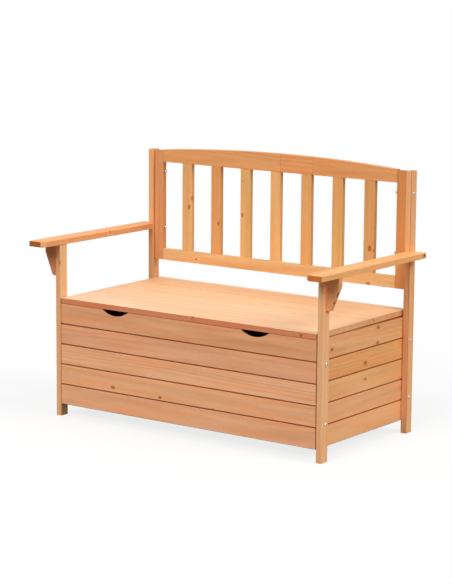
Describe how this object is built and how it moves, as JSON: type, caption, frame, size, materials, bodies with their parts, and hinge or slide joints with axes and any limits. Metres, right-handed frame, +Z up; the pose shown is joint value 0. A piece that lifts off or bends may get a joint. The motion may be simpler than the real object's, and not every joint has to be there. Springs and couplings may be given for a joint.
{
  "type": "garden storage bench",
  "caption": "Wooden garden bench with a slatted arched back, flat arms and a boarded storage box whose hinged seat is its lid.",
  "frame": {"origin": "on the ground, under the middle of the bench's outline", "axes": "+X along the seat, to the right seen from the front; +Y from the front to the back; +Z up"},
  "size_m": [1.107, 0.584, 0.8405],
  "materials": {
    "frame_fir": "satin oiled fir",
    "wall_fir": "satin oiled fir",
    "seat_fir": "satin oiled fir",
    "inner_fir": "sawn fir",
    "zinc_steel": "zinc plated"
  },
  "bodies": {
    "bench": {"front_left_post": "frame_fir", "rear_left_post": "frame_fir", "front_right_post": "frame_fir", "rear_right_post": "frame_fir", "left_arm": "frame_fir", "right_arm": "frame_fir", "left_arm_bracket": "frame_fir", "right_arm_bracket": "frame_fir", "back_left_stile": "frame_fir", "back_right_stile": "frame_fir", "back_bottom_rail": "frame_fir", "back_top_rail": "frame_fir", "back_slat_1": "frame_fir", "back_slat_2": "frame_fir", "back_slat_3": "frame_fir", "back_slat_4": "frame_fir", "back_slat_5": "frame_fir", "back_slat_6": "frame_fir", "back_slat_7": "frame_fir", "front_board_1": "wall_fir", "front_board_2": "wall_fir", "front_board_3": "wall_fir", "front_board_4": "wall_fir", "front_board_5": "wall_fir", "back_board_1": "wall_fir", "back_board_2": "wall_fir", "back_board_3": "wall_fir", "back_board_4": "wall_fir", "back_board_5": "wall_fir", "left_board_1": "wall_fir", "left_board_2": "wall_fir", "left_board_3": "wall_fir", "left_board_4": "wall_fir", "left_board_5": "wall_fir", "right_board_1": "wall_fir", "right_board_2": "wall_fir", "right_board_3": "wall_fir", "right_board_4": "wall_fir", "right_board_5": "wall_fir", "corner_battens": "inner_fir", "wall_battens": "inner_fir", "hinge_rail": "inner_fir", "floor_ledgers": "inner_fir", "floor_boards": "inner_fir", "arm_dowels": "inner_fir", "post_bolts": "zinc_steel", "arm_bolts": "zinc_steel", "cap_nuts": "zinc_steel", "bracket_screws": "zinc_steel", "hinge_fixed_leaves": "zinc_steel", "hinge_fixed_screws": "zinc_steel", "hinge_pins": "zinc_steel"},
    "lid": {"lid_board_1": "seat_fir", "lid_board_2": "seat_fir", "lid_board_3": "seat_fir", "lid_board_4": "seat_fir", "lid_battens": "inner_fir", "lid_batten_screws": "zinc_steel", "hinge_lid_leaves": "zinc_steel", "hinge_lid_screws": "zinc_steel"}
  },
  "joints": [
    {"name": "lid_hinge", "type": "hinge", "parent": "bench", "child": "lid", "pos_m": [0, 0.288, 0.3699], "axis": [-1, 0, 0], "range_deg": [0, 62]}
  ]
}
